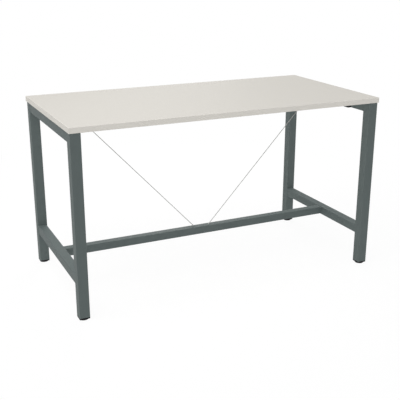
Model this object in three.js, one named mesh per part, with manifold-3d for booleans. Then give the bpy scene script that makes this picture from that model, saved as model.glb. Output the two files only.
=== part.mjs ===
// A standing-height meeting table: a pale board on two welded end frames of square steel tube, joined by a
// low stretcher, with two tension wires from the stretcher to the underside of the top and four levelling feet.
// Millimetres, +Z up, +X along the top. The origin is on the floor, under the middle of the top.

import * as THREE from 'three';
import { mergeVertices } from 'three/addons/utils/BufferGeometryUtils.js';
import Module from 'manifold-3d';

const wasm = await Module();
wasm.setup();

// The top
const TABLE_HEIGHT = 1013;
const TOP_LENGTH = 1800;
const TOP_DEPTH = 900;
const TOP_THICKNESS = 29;
const TOP_OVERHANG = 5;
const BAND_THICKNESS = 2;
const BAND_ROUNDING = 1;

// The frame's square tubes
const LEG_SIZE = 55;
const LEG_WALL = 2;
const RAIL_SIZE = 50;
const RAIL_WALL = 2;
const STRETCHER_SIZE = 45;
const STRETCHER_WALL = 2;
const TUBE_ROUNDING = 2.5;
const TUBE_INNER_ROUNDING = 0.5;
const TOP_RAIL_DROP = 5;
const LOW_RAIL_HEIGHT = 212;

// The feet: a pad that holds the head of a stud, and the plug in the leg's end that the stud screws into
const PAD_DIAMETER = 50;
const PAD_CHAMFER = 1;
const PAD_FLOOR = 2.2;
const PAD_LIP = 2;
const PLUG_FLANGE = 7;
const PLUG_INSET = 0.2;
const PLUG_DEPTH = 25;
const PLUG_WALL = 2.5;
const PLUG_RIB = 3;
const PLUG_BOSS_WALL = 5;
const STUD_DIAMETER = 8;
const STUD_PROUD = 6;
const STUD_HEAD_DIAMETER = 16;
const STUD_HEAD_HEIGHT = 1.6;
const STUD_CHAMFER = 1;
const STUD_SOCKET = 5;
const STUD_SOCKET_DEPTH = 4;

// The tension wires, in the table's middle plane, from holes in the stretcher to the underside of the top
const WIRE_DIAMETER = 4;
const WIRE_FOOT = 47;
const WIRE_HEAD_INSET = 95;
const STOP_WALL = 3;
const TERMINAL_DIAMETER = 6;
const TERMINAL_START = 10;
const TERMINAL_CHAMFER = 1;
const THREAD_PROUD = 8;
const THREAD_SPARE = 34;
const SLEEVE_WALL = 1.7;
const SLEEVE_LENGTH = 35;
const SLEEVE_SOLID_END = 5;
const SLEEVE_TAPER = 3;
const NUT_WALL = 2;
const NUT_HEIGHT = 6;
const NUT_FLANGE_RIM = 2;
const NUT_FLANGE_HEIGHT = 1.5;

// The wires' anchors under the top: a flat flange, bent down across the wire
const ANCHOR_THICKNESS = 4;
const ANCHOR_WIDTH = 44;
const ANCHOR_FLANGE = 52;
const ANCHOR_TONGUE = 12;
const ANCHOR_SCREW_SPACING = 24;

// The black brackets between the top rails and the top
const BRACKET_REACH = 52;
const BRACKET_WIDTH = 60;
const BRACKET_PLATE = 3;
const BRACKET_SLOPE = 32;
const BRACKET_SLOPE_RISE = 10;
const BRACKET_INSET = 150;

// The stretcher's bolted ends
const END_PLATE_THICKNESS = 8;
const BOLT_SPACING = 22;
const ACCESS_ROOM = 1;
const ACCESS_PLUG_RIM = 2;
const ACCESS_PLUG_CAP = 1;
const ACCESS_PLUG_DEPTH = 6;

// Fasteners: how far a bolt's end stands past its thread, the board left over a screw, and their shapes
const BOLT_PROUD = 5;
const SCREW_COVER = 10;
const STRETCHER_BOLT = {
  head: 13, headHeight: 8, headChamfer: 1.5, shank: 8, tip: 1, point: 6, socket: 6, socketDepth: 4,
};
const BRACKET_BOLT = {
  head: 10, headHeight: 5, headChamfer: 1, shank: 6, tip: 1, point: 4, socket: 4, socketDepth: 3,
};
const WOOD_SCREW = {
  head: 9, headHeight: 3.5, headChamfer: 0.7, shank: 4.5, tip: 4, point: 0.8, socket: 3, socketDepth: 2,
};

// Clearances: faces that bear on each other, glued faces, welded butts, and bores round what passes through
const SEAT = 0.2;
const GLUE_LINE = 0.1;
const WELD_GAP = 0.3;
const FIT = 0.3;

// How finely round shapes are cut
const FASTENER_SIDES = 12;
const FOOT_SIDES = 24;
const WIRE_SIDES = 8;
const ARC_STEPS = 2;

// Heights and places that follow from these sizes
const UNDERSIDE = TABLE_HEIGHT - TOP_THICKNESS;
const PAD_HEIGHT = PAD_FLOOR + STUD_HEAD_HEIGHT + PAD_LIP + 2 * SEAT;
const FLANGE_BOTTOM = PAD_HEIGHT + SEAT;
const STUD_BOTTOM = PAD_FLOOR + SEAT;
const STUD_LENGTH = FLANGE_BOTTOM + PLUG_FLANGE + PLUG_DEPTH + STUD_PROUD - STUD_BOTTOM;
const LEG_BOTTOM = FLANGE_BOTTOM + PLUG_FLANGE + SEAT;
const LEG_TOP = UNDERSIDE - SEAT;
const LEG_X = TOP_LENGTH / 2 - TOP_OVERHANG - LEG_SIZE / 2;
const LEG_Y = TOP_DEPTH / 2 - TOP_OVERHANG - LEG_SIZE / 2;
const LEG_INNER_FACE = LEG_Y - LEG_SIZE / 2;
const RAIL_LENGTH = 2 * (LEG_INNER_FACE - WELD_GAP);
const TOP_RAIL_HEIGHT = UNDERSIDE - TOP_RAIL_DROP - RAIL_SIZE / 2;
const RAIL_INNER_FACE = LEG_X - RAIL_SIZE / 2;
const STRETCHER_END = RAIL_INNER_FACE - SEAT;
const STRETCHER_TOP = LOW_RAIL_HEIGHT + STRETCHER_SIZE / 2;
const ACCESS_WIDTH = STRETCHER_BOLT.head + 2 * ACCESS_ROOM;
const BRACKET_HEIGHT = TOP_RAIL_DROP + RAIL_SIZE - SEAT;
const BRACKET_FACE = RAIL_INNER_FACE - SEAT;
const BRACKET_OFFSET = LEG_INNER_FACE - BRACKET_INSET;
const BRACKET_SCREW_X = RAIL_INNER_FACE - BRACKET_REACH / 2;
const WIRE_HEAD = RAIL_INNER_FACE - WIRE_HEAD_INSET;
const WIRE_SLOPE = Math.atan2(UNDERSIDE - STRETCHER_TOP, WIRE_HEAD - WIRE_FOOT);
const STOP_DIAMETER = WIRE_DIAMETER + 2 * STOP_WALL;
const SLEEVE_DIAMETER = WIRE_DIAMETER + 2 * FIT + 2 * SLEEVE_WALL;
const SLEEVE_BORE_DEPTH = SLEEVE_LENGTH - SLEEVE_SOLID_END;
const NUT_ACROSS_FLATS = TERMINAL_DIAMETER + 2 * NUT_WALL;
const NUT_FLANGE_DIAMETER = NUT_ACROSS_FLATS + 2 * NUT_FLANGE_RIM;
const ANCHOR_NUT_ROOM = TERMINAL_START + THREAD_PROUD + NUT_HEIGHT + SEAT;
const TERMINAL_THREAD = THREAD_PROUD + NUT_HEIGHT + SEAT + ANCHOR_THICKNESS + THREAD_SPARE;
const ANCHOR_BEND = anchorPoint(ANCHOR_NUT_ROOM, UNDERSIDE - SEAT).x;
const ANCHOR_SCREW_X = ANCHOR_BEND - ANCHOR_FLANGE / 2;
const SIDES = { left: -1, right: 1 };
const ENDS = { front: -1, back: 1 };

// Materials
const laminate = new THREE.MeshStandardMaterial({ color: 0xdad7d0, roughness: 0.45, metalness: 0 });
const edging = new THREE.MeshStandardMaterial({ color: 0xd2cfc8, roughness: 0.5, metalness: 0 });
const powderCoat = new THREE.MeshStandardMaterial({ color: 0x666e6c, roughness: 0.55, metalness: 0.1 });
const blackSteel = new THREE.MeshStandardMaterial({ color: 0x1d1e1f, roughness: 0.5, metalness: 0.3 });
const blackPlastic = new THREE.MeshStandardMaterial({ color: 0x1b1b1c, roughness: 0.6, metalness: 0 });
const greyPlastic = new THREE.MeshStandardMaterial({ color: 0x626a68, roughness: 0.6, metalness: 0 });
const zincSteel = new THREE.MeshStandardMaterial({ color: 0xb4b8ba, roughness: 0.35, metalness: 0.9 });
const wireSteel = new THREE.MeshStandardMaterial({ color: 0xa8abad, roughness: 0.35, metalness: 0.9 });

const table = new THREE.Group();

function addPart(name, geometry, material, parent = table) {
  const mesh = new THREE.Mesh(geometry, material);
  mesh.name = name;
  parent.add(mesh);
  return mesh;
}

// A closed geometry as a solid that can be cut and joined
function solidOf(geometry) {
  const bare = geometry.clone();
  bare.deleteAttribute('normal');
  bare.deleteAttribute('uv');
  const merged = mergeVertices(bare);
  const corners = merged.index.array;
  const triangles = [];
  for (let i = 0; i < corners.length; i += 3) {
    const [a, b, c] = corners.slice(i, i + 3);
    if (a !== b && b !== c && c !== a) {
      triangles.push(a, b, c);
    }
  }
  return new wasm.Manifold(new wasm.Mesh({
    numProp: 3,
    vertProperties: new Float32Array(merged.attributes.position.array),
    triVerts: new Uint32Array(triangles),
  }));
}

function geometryOf(solid) {
  const mesh = solid.getMesh();
  const geometry = new THREE.BufferGeometry();
  geometry.setAttribute('position', new THREE.BufferAttribute(mesh.vertProperties, 3));
  geometry.setIndex(new THREE.BufferAttribute(mesh.triVerts, 1));
  geometry.computeVertexNormals();
  return geometry;
}

function cut(geometry, cutters) {
  let solid = solidOf(geometry);
  for (const cutter of cutters) {
    solid = solid.subtract(solidOf(cutter));
  }
  return geometryOf(solid);
}

function join(first, second) {
  return geometryOf(solidOf(first).add(solidOf(second)));
}

function extrude(shape, depth) {
  return new THREE.ExtrudeGeometry(shape, { depth, bevelEnabled: false, curveSegments: ARC_STEPS, steps: 1 });
}

// A turned piece about the Z axis: its profile is a list of radius and height pairs
function turned(profile, sides) {
  const points = profile.map(([radius, height]) => new THREE.Vector2(radius, height));
  return new THREE.LatheGeometry(points, sides).rotateX(Math.PI / 2);
}

// A round cutter along Z, from its base height up
function drill(diameter, base, length) {
  const cylinder = new THREE.CylinderGeometry(diameter / 2, diameter / 2, length, FASTENER_SIDES);
  return cylinder.rotateX(Math.PI / 2).translate(0, 0, base + length / 2);
}

// A hexagonal prism along Z, centred on the origin
function hexagon(acrossFlats, height) {
  const radius = acrossFlats / Math.sqrt(3);
  return new THREE.CylinderGeometry(radius, radius, height, 6).rotateX(Math.PI / 2);
}

// A rectangle with round corners, centred on the origin
function roundedRectangle(width, height, radius, path = new THREE.Shape()) {
  const x = width / 2 - radius;
  const y = height / 2 - radius;
  path.moveTo(-x, -y - radius);
  path.absarc(x, -y, radius, -Math.PI / 2, 0, false);
  path.absarc(x, y, radius, 0, Math.PI / 2, false);
  path.absarc(-x, y, radius, Math.PI / 2, Math.PI, false);
  path.absarc(-x, -y, radius, Math.PI, 1.5 * Math.PI, false);
  return path;
}

// A square tube along Z, starting at the origin
function squareTube(size, wall, length) {
  const shape = roundedRectangle(size, size, TUBE_ROUNDING);
  const inner = size - 2 * wall;
  shape.holes.push(roundedRectangle(inner, inner, TUBE_INNER_ROUNDING, new THREE.Path()));
  return extrude(shape, length);
}

// A screw or bolt that points up the Z axis, with the seat of its head at the origin and a hexagon socket
function fastener({ head, headHeight, headChamfer, shank, tip, point, socket, socketDepth }, length) {
  const body = turned([
    [0, -headHeight],
    [head / 2 - headChamfer, -headHeight],
    [head / 2, headChamfer - headHeight],
    [head / 2, 0],
    [shank / 2, 0],
    [shank / 2, length - tip],
    [point / 2, length],
    [0, length],
  ], FASTENER_SIDES);
  return cut(body, [hexagon(socket, 2 * socketDepth).translate(0, 0, -headHeight)]);
}

// A wood screw through a plate under the top, with its tip short of the top's upper face
function topScrew(plateThickness) {
  return fastener(WOOD_SCREW, plateThickness + 2 * SEAT + TOP_THICKNESS - SCREW_COVER);
}

// A point on the plane across the right wire, a distance down it from the top's underside, at a given height
function anchorPoint(distance, height) {
  const rise = height - UNDERSIDE + distance * Math.sin(WIRE_SLOPE);
  const x = WIRE_HEAD - distance * Math.cos(WIRE_SLOPE) - rise * Math.tan(WIRE_SLOPE);
  return new THREE.Vector2(x, height);
}

// The same plane, a distance down the wire and then a distance across it, away from the top
function anchorTip(distance, across) {
  return new THREE.Vector2(
    WIRE_HEAD - distance * Math.cos(WIRE_SLOPE) + across * Math.sin(WIRE_SLOPE),
    UNDERSIDE - distance * Math.sin(WIRE_SLOPE) - across * Math.cos(WIRE_SLOPE),
  );
}

// The board, with a pilot hole for every screw that holds something under it
function addBoard() {
  const inset = 2 * (BAND_THICKNESS + GLUE_LINE);
  const board = new THREE.BoxGeometry(TOP_LENGTH - inset, TOP_DEPTH - inset, TOP_THICKNESS);
  board.translate(0, 0, UNDERSIDE + TOP_THICKNESS / 2);
  const pilot = drill(WOOD_SCREW.shank + 2 * FIT, UNDERSIDE - FIT, TOP_THICKNESS - SCREW_COVER + 2 * FIT);
  const holes = [];
  for (const side of Object.values(SIDES)) {
    for (const end of Object.values(ENDS)) {
      holes.push(pilot.clone().translate(side * ANCHOR_SCREW_X, end * ANCHOR_SCREW_SPACING / 2, 0));
      holes.push(pilot.clone().translate(side * BRACKET_SCREW_X, end * BRACKET_OFFSET, 0));
    }
  }
  addPart('tabletop_board', cut(board, holes), laminate);
}

// The edge bands: the long ones cover the ends of the short ones
function addEdgeBands() {
  const lap = 2 * (BAND_THICKNESS + GLUE_LINE);
  const bands = {
    right: { turn: 0, reach: TOP_LENGTH / 2, length: TOP_DEPTH - lap },
    back: { turn: Math.PI / 2, reach: TOP_DEPTH / 2, length: TOP_LENGTH },
    left: { turn: Math.PI, reach: TOP_LENGTH / 2, length: TOP_DEPTH - lap },
    front: { turn: 1.5 * Math.PI, reach: TOP_DEPTH / 2, length: TOP_LENGTH },
  };
  const rounding = Math.min(BAND_ROUNDING, BAND_THICKNESS);
  const corner = BAND_THICKNESS - rounding;
  const section = new THREE.Shape();
  section.moveTo(0, 0);
  section.absarc(corner, rounding, rounding, -Math.PI / 2, 0, false);
  section.absarc(corner, TOP_THICKNESS - rounding, rounding, 0, Math.PI / 2, false);
  section.lineTo(0, TOP_THICKNESS);
  for (const [name, { turn, reach, length }] of Object.entries(bands)) {
    const edge = new THREE.Group();
    edge.rotation.z = turn;
    table.add(edge);
    const band = addPart(`edge_band_${name}`, extrude(section, length), edging, edge);
    band.rotation.x = Math.PI / 2;
    band.position.set(reach - BAND_THICKNESS, length / 2, UNDERSIDE);
  }
}

// A rail along Y between the legs of one end frame, as a closed geometry in place
function railTube(side, height) {
  const tube = squareTube(RAIL_SIZE, RAIL_WALL, RAIL_LENGTH);
  return tube.rotateX(Math.PI / 2).translate(side * LEG_X, RAIL_LENGTH / 2, height);
}

// The outline of a slot that both bolts at one end of the stretcher pass through
function accessShape(width) {
  return roundedRectangle(width, BOLT_SPACING + width, width / 2);
}

// The end frame's rails: the top rail is drilled for the brackets, the low rail for the stretcher's bolts
function addRails(name, side) {
  const inward = -side * Math.PI / 2;
  const holeStart = side * (RAIL_INNER_FACE + RAIL_WALL + FIT);
  const bracketHoles = Object.values(ENDS).map((end) => {
    const hole = drill(BRACKET_BOLT.shank + 2 * FIT, 0, 2 * RAIL_WALL).rotateY(inward);
    return hole.translate(holeStart, end * BRACKET_OFFSET, TOP_RAIL_HEIGHT);
  });
  addPart(`top_rail_${name}`, cut(railTube(side, TOP_RAIL_HEIGHT), bracketHoles), powderCoat);

  const boltHoles = Object.values(ENDS).map((end) => {
    const hole = drill(STRETCHER_BOLT.shank + 2 * FIT, 0, 2 * RAIL_WALL).rotateY(inward);
    return hole.translate(holeStart, end * BOLT_SPACING / 2, LOW_RAIL_HEIGHT);
  });
  const slot = extrude(accessShape(ACCESS_WIDTH), 2 * RAIL_WALL);
  slot.rotateY(inward).translate(side * (LEG_X + RAIL_SIZE / 2 + FIT), 0, LOW_RAIL_HEIGHT);
  addPart(`low_rail_${name}`, cut(railTube(side, LOW_RAIL_HEIGHT), [...boltHoles, slot]), powderCoat);
}

// The stretcher, with a slanted hole in its top wall for each wire
function addStretcher() {
  const tube = squareTube(STRETCHER_SIZE, STRETCHER_WALL, 2 * STRETCHER_END);
  tube.rotateY(Math.PI / 2).translate(-STRETCHER_END, 0, LOW_RAIL_HEIGHT);
  const holes = Object.values(SIDES).map((side) => {
    const reach = STRETCHER_SIZE / 2;
    const hole = drill(WIRE_DIAMETER + 2 * FIT, -reach, 2 * reach).rotateY(wireTurn(side));
    return hole.translate(side * WIRE_FOOT, 0, STRETCHER_TOP);
  });
  addPart('stretcher', cut(tube, holes), powderCoat);
}

// How far a piece along Z is turned about Y to lie along a wire, pointing up it
function wireTurn(side) {
  return side * (Math.PI / 2 - WIRE_SLOPE);
}

// The stretcher's bolted end: a tapped plate in the tube, two bolts from inside the low rail, and a plug
function addStretcherEnd(name, side) {
  const inward = -side * Math.PI / 2;
  const plateSize = STRETCHER_SIZE - 2 * STRETCHER_WALL - 2 * FIT;
  const plate = extrude(roundedRectangle(plateSize, plateSize, TUBE_INNER_ROUNDING), END_PLATE_THICKNESS);
  plate.rotateY(inward).translate(side * STRETCHER_END, 0, LOW_RAIL_HEIGHT);
  const tapped = Object.values(ENDS).map((end) => {
    const hole = drill(STRETCHER_BOLT.shank + 2 * FIT, -END_PLATE_THICKNESS, 3 * END_PLATE_THICKNESS);
    return hole.rotateY(inward).translate(side * STRETCHER_END, end * BOLT_SPACING / 2, LOW_RAIL_HEIGHT);
  });
  addPart(`stretcher_plate_${name}`, cut(plate, tapped), zincSteel);

  const boltLength = RAIL_WALL + END_PLATE_THICKNESS + 2 * SEAT + BOLT_PROUD;
  for (const [endName, end] of Object.entries(ENDS)) {
    const geometry = fastener(STRETCHER_BOLT, boltLength);
    const bolt = addPart(`stretcher_bolt_${name}_${endName}`, geometry, zincSteel);
    bolt.rotation.y = inward;
    bolt.position.set(side * (RAIL_INNER_FACE + RAIL_WALL + SEAT), end * BOLT_SPACING / 2, LOW_RAIL_HEIGHT);
  }

  const stem = extrude(accessShape(ACCESS_WIDTH - 2 * FIT), ACCESS_PLUG_CAP + ACCESS_PLUG_DEPTH);
  const cap = extrude(accessShape(ACCESS_WIDTH + 2 * ACCESS_PLUG_RIM), ACCESS_PLUG_CAP);
  const plug = addPart(`access_plug_${name}`, join(stem, cap), greyPlastic);
  plug.rotation.y = inward;
  plug.position.set(side * (LEG_X + RAIL_SIZE / 2 + SEAT + ACCESS_PLUG_CAP), 0, LOW_RAIL_HEIGHT);
}

// The plug in a leg's end: a flange under the tube and a ribbed box in it, round a threaded boss
function footPlug() {
  const flangeSize = LEG_SIZE - 2 * PLUG_INSET;
  const flange = roundedRectangle(flangeSize, flangeSize, TUBE_ROUNDING);
  const boxSize = LEG_SIZE - 2 * LEG_WALL - 2 * FIT;
  const box = roundedRectangle(boxSize, boxSize, TUBE_INNER_ROUNDING);
  const pocketSize = boxSize / 2 - PLUG_WALL - PLUG_RIB / 2;
  const pocketCentre = (boxSize / 2 - PLUG_WALL + PLUG_RIB / 2) / 2;
  const pocket = extrude(roundedRectangle(pocketSize, pocketSize, PLUG_RIB / 2), 2 * PLUG_DEPTH);
  const boss = drill(STUD_DIAMETER + 2 * PLUG_BOSS_WALL, 0, PLUG_FLANGE + PLUG_DEPTH);
  const bore = drill(STUD_DIAMETER + 2 * FIT, -PLUG_DEPTH, 3 * PLUG_DEPTH);
  const pockets = [];
  for (const side of Object.values(SIDES)) {
    for (const end of Object.values(ENDS)) {
      pockets.push(pocket.clone().translate(side * pocketCentre, end * pocketCentre, PLUG_FLANGE));
    }
  }
  const shell = cut(extrude(box, PLUG_FLANGE + PLUG_DEPTH), pockets);
  return cut(join(join(extrude(flange, PLUG_FLANGE), shell), boss), [bore]);
}

// The foot's stud: a flat head, held in the pad, with a key's socket, and a shank up through the plug
function footStud() {
  const shaft = turned([
    [0, 0],
    [STUD_HEAD_DIAMETER / 2, 0],
    [STUD_HEAD_DIAMETER / 2, STUD_HEAD_HEIGHT],
    [STUD_DIAMETER / 2, STUD_HEAD_HEIGHT],
    [STUD_DIAMETER / 2, STUD_LENGTH - STUD_CHAMFER],
    [STUD_DIAMETER / 2 - STUD_CHAMFER, STUD_LENGTH],
    [0, STUD_LENGTH],
  ], FASTENER_SIDES);
  return cut(shaft, [hexagon(STUD_SOCKET, 2 * STUD_SOCKET_DEPTH)]);
}

// The foot's pad: a low disc with a hole for the key and a socket, whose lip closes over the stud's head
function footPad() {
  const rim = PAD_DIAMETER / 2;
  const keyHole = STUD_SOCKET / Math.sqrt(3) + FIT;
  const mouth = STUD_DIAMETER / 2 + FIT;
  const socket = STUD_HEAD_DIAMETER / 2 + FIT;
  return turned([
    [keyHole, 0],
    [rim - PAD_CHAMFER, 0],
    [rim, PAD_CHAMFER],
    [rim, PAD_HEIGHT - PAD_CHAMFER],
    [rim - PAD_CHAMFER, PAD_HEIGHT],
    [mouth, PAD_HEIGHT],
    [mouth, PAD_HEIGHT - PAD_LIP],
    [socket, PAD_HEIGHT - PAD_LIP],
    [socket, PAD_FLOOR],
    [keyHole, PAD_FLOOR],
    [keyHole, 0],
  ], FOOT_SIDES);
}

// A leg with its foot
function addLeg(name, x, y) {
  const leg = addPart(`leg_${name}`, squareTube(LEG_SIZE, LEG_WALL, LEG_TOP - LEG_BOTTOM), powderCoat);
  leg.position.set(x, y, LEG_BOTTOM);
  addPart(`foot_plug_${name}`, footPlug(), blackPlastic).position.set(x, y, FLANGE_BOTTOM);
  addPart(`foot_stud_${name}`, footStud(), zincSteel).position.set(x, y, STUD_BOTTOM);
  addPart(`foot_pad_${name}`, footPad(), blackPlastic).position.set(x, y, 0);
}

// A bracket that ties a top rail to the top: a back, a top plate and two cheeks, open below and inwards, where the
// cheeks' lower edges slope up
function addBracket(name, side, end) {
  const profile = new THREE.Shape([
    new THREE.Vector2(0, 0),
    new THREE.Vector2(0, -BRACKET_HEIGHT),
    new THREE.Vector2(BRACKET_SLOPE - BRACKET_REACH, -BRACKET_HEIGHT),
    new THREE.Vector2(-BRACKET_REACH, BRACKET_SLOPE_RISE - BRACKET_HEIGHT),
    new THREE.Vector2(-BRACKET_REACH, 0),
  ]);
  const block = extrude(profile, BRACKET_WIDTH).rotateX(Math.PI / 2).translate(0, BRACKET_WIDTH / 2, 0);
  const room = new THREE.BoxGeometry(BRACKET_REACH, BRACKET_WIDTH - 2 * BRACKET_PLATE, BRACKET_HEIGHT);
  room.translate(-BRACKET_REACH / 2 - BRACKET_PLATE, 0, -BRACKET_HEIGHT / 2 - BRACKET_PLATE);
  const screwHole = drill(WOOD_SCREW.shank + 2 * FIT, -2 * BRACKET_PLATE, 3 * BRACKET_PLATE);
  screwHole.translate(BRACKET_SCREW_X - BRACKET_FACE, 0, 0);
  const boltHole = drill(BRACKET_BOLT.shank + 2 * FIT, -2 * BRACKET_PLATE, 3 * BRACKET_PLATE);
  boltHole.rotateY(Math.PI / 2).translate(0, 0, TOP_RAIL_HEIGHT - UNDERSIDE + SEAT);

  const bracket = new THREE.Group();
  bracket.rotation.z = side > 0 ? 0 : Math.PI;
  bracket.position.set(side * BRACKET_FACE, end * BRACKET_OFFSET, UNDERSIDE - SEAT);
  table.add(bracket);
  addPart(`top_bracket_${name}`, cut(block, [room, screwHole, boltHole]), blackSteel, bracket);

  const screw = addPart(`bracket_screw_${name}`, topScrew(BRACKET_PLATE), zincSteel);
  screw.position.set(side * BRACKET_SCREW_X, end * BRACKET_OFFSET, UNDERSIDE - BRACKET_PLATE - 2 * SEAT);
  const boltLength = BRACKET_PLATE + RAIL_WALL + 2 * SEAT + BOLT_PROUD;
  const bolt = addPart(`bracket_bolt_${name}`, fastener(BRACKET_BOLT, boltLength), zincSteel);
  bolt.rotation.y = side * Math.PI / 2;
  bolt.position.set(side * (BRACKET_FACE - BRACKET_PLATE - SEAT), end * BRACKET_OFFSET, TOP_RAIL_HEIGHT);
}

// The anchor of one wire, a bent plate, with its two screws
function addAnchor(name, side) {
  const flangeTop = UNDERSIDE - SEAT;
  const flangeBottom = flangeTop - ANCHOR_THICKNESS;
  const backDistance = ANCHOR_NUT_ROOM + ANCHOR_THICKNESS;
  const profile = new THREE.Shape([
    new THREE.Vector2(ANCHOR_BEND - ANCHOR_FLANGE, flangeTop),
    anchorPoint(ANCHOR_NUT_ROOM, flangeTop),
    anchorTip(ANCHOR_NUT_ROOM, ANCHOR_TONGUE),
    anchorTip(backDistance, ANCHOR_TONGUE),
    anchorPoint(backDistance, flangeBottom),
    new THREE.Vector2(ANCHOR_BEND - ANCHOR_FLANGE, flangeBottom),
  ]);
  const plate = extrude(profile, ANCHOR_WIDTH).rotateX(Math.PI / 2).translate(0, ANCHOR_WIDTH / 2, 0);
  const holes = Object.values(ENDS).map((end) => {
    const hole = drill(WOOD_SCREW.shank + 2 * FIT, flangeBottom - ANCHOR_THICKNESS, 3 * ANCHOR_THICKNESS);
    return hole.translate(ANCHOR_SCREW_X, end * ANCHOR_SCREW_SPACING / 2, 0);
  });
  const studHole = drill(TERMINAL_DIAMETER + 2 * FIT, -backDistance - ANCHOR_THICKNESS, 3 * ANCHOR_THICKNESS);
  holes.push(studHole.rotateY(wireTurn(1)).translate(WIRE_HEAD, 0, UNDERSIDE));

  const anchor = new THREE.Group();
  anchor.rotation.z = side > 0 ? 0 : Math.PI;
  table.add(anchor);
  addPart(`wire_anchor_${name}`, cut(plate, holes), zincSteel, anchor);
  for (const [endName, end] of Object.entries(ENDS)) {
    const screw = addPart(`anchor_screw_${name}_${endName}`, topScrew(ANCHOR_THICKNESS), zincSteel);
    screw.position.set(side * ANCHOR_SCREW_X, end * ANCHOR_SCREW_SPACING / 2, flangeBottom - SEAT);
  }
}

// The wire's nut: a hexagon on a flange, bored for the terminal
function tensionNut() {
  const flange = drill(NUT_FLANGE_DIAMETER, 0, NUT_FLANGE_HEIGHT);
  const blank = join(hexagon(NUT_ACROSS_FLATS, NUT_HEIGHT).translate(0, 0, NUT_HEIGHT / 2), flange);
  return cut(blank, [drill(TERMINAL_DIAMETER + 2 * FIT, -NUT_HEIGHT, 3 * NUT_HEIGHT)]);
}

// The wire's terminal: a sleeve swaged on the wire's end, which narrows to a threaded rod; Z runs up the wire
function wireTerminal() {
  const bore = WIRE_DIAMETER / 2 + FIT;
  const sleeve = SLEEVE_DIAMETER / 2;
  const rod = TERMINAL_DIAMETER / 2;
  const top = SLEEVE_LENGTH + TERMINAL_THREAD;
  return turned([
    [0, SLEEVE_BORE_DEPTH],
    [bore, SLEEVE_BORE_DEPTH],
    [bore, 0],
    [(bore + sleeve) / 2, 0],
    [sleeve, SLEEVE_TAPER],
    [sleeve, SLEEVE_LENGTH - SLEEVE_TAPER],
    [rod, SLEEVE_LENGTH],
    [rod, top - TERMINAL_CHAMFER],
    [rod - TERMINAL_CHAMFER, top],
    [0, top],
  ], FASTENER_SIDES);
}

// The ball swaged on the wire's lower end, bored for the wire
function wireStop() {
  const ball = new THREE.SphereGeometry(STOP_DIAMETER / 2, FASTENER_SIDES, FASTENER_SIDES / 2);
  return cut(ball, [drill(WIRE_DIAMETER + 2 * FIT, -STOP_DIAMETER, 2 * STOP_DIAMETER)]);
}

// One tension wire with its terminal, nut and ball, along a slanted line through the hole in the stretcher
function addWire(name, side) {
  const line = new THREE.Group();
  line.rotation.y = wireTurn(side);
  line.position.set(side * WIRE_HEAD, 0, UNDERSIDE);
  table.add(line);

  const ballDepth = STRETCHER_WALL + SEAT + STOP_DIAMETER / 2;
  const toBall = (UNDERSIDE - STRETCHER_TOP + ballDepth) / Math.sin(WIRE_SLOPE);
  const sleeveEnd = TERMINAL_START + TERMINAL_THREAD + SLEEVE_LENGTH;
  const wireTop = sleeveEnd - SLEEVE_BORE_DEPTH + SEAT;
  const wireLength = toBall + STOP_DIAMETER / 2 - wireTop;
  const wire = new THREE.CylinderGeometry(WIRE_DIAMETER / 2, WIRE_DIAMETER / 2, wireLength, WIRE_SIDES);
  wire.rotateX(Math.PI / 2);
  addPart(`wire_${name}`, wire, wireSteel, line).position.z = -wireTop - wireLength / 2;
  addPart(`wire_stop_${name}`, wireStop(), wireSteel, line).position.z = -toBall;
  addPart(`wire_terminal_${name}`, wireTerminal(), wireSteel, line).position.z = -sleeveEnd;
  addPart(`wire_nut_${name}`, tensionNut(), zincSteel, line).position.z = -ANCHOR_NUT_ROOM + SEAT;
}

addBoard();
addEdgeBands();
addStretcher();
for (const [sideName, side] of Object.entries(SIDES)) {
  addRails(sideName, side);
  addStretcherEnd(sideName, side);
  addAnchor(sideName, side);
  addWire(sideName, side);
  for (const [endName, end] of Object.entries(ENDS)) {
    const name = `${endName}_${sideName}`;
    addLeg(name, side * LEG_X, end * LEG_Y);
    addBracket(name, side, end);
  }
}

export default table;
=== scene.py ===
import math

import bmesh
import bpy
from mathutils import Matrix, Vector


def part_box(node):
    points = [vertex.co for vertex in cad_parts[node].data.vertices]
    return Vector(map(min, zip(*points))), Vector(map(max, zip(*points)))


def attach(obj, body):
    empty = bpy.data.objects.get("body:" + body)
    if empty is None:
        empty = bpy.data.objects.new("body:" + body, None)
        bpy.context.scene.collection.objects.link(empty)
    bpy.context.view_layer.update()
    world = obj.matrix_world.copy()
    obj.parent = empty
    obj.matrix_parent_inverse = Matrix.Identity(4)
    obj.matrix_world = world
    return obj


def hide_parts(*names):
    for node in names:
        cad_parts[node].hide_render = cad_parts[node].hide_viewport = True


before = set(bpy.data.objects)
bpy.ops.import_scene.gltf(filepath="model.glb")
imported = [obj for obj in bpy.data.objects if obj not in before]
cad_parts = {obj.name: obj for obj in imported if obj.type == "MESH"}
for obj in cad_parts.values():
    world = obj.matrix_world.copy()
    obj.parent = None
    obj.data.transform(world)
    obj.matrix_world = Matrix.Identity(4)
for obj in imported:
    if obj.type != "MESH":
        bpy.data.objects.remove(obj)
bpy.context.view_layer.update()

scene = bpy.context.scene
scene.view_settings.view_transform = "Standard"

# Camera

# The camera stands left of the table's middle and above the top, with a long lens that keeps the legs
# upright. The focal length is in pixels of the square picture.
PICTURE_SIZE = 400
FOCAL_LENGTH = 740.54
CAMERA_TARGET = Vector((-0.0086, 0.0, 0.3950))
CAMERA_DISTANCE = 4.4035
CAMERA_AZIMUTH = math.radians(-25.13)
CAMERA_ELEVATION = math.radians(18.54)


def bearing(azimuth, elevation):
    """The direction from the table towards a place round it, with azimuth 0 in front."""
    level = math.cos(elevation)
    return Vector((math.sin(azimuth) * level, -math.cos(azimuth) * level, math.sin(elevation)))


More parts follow.
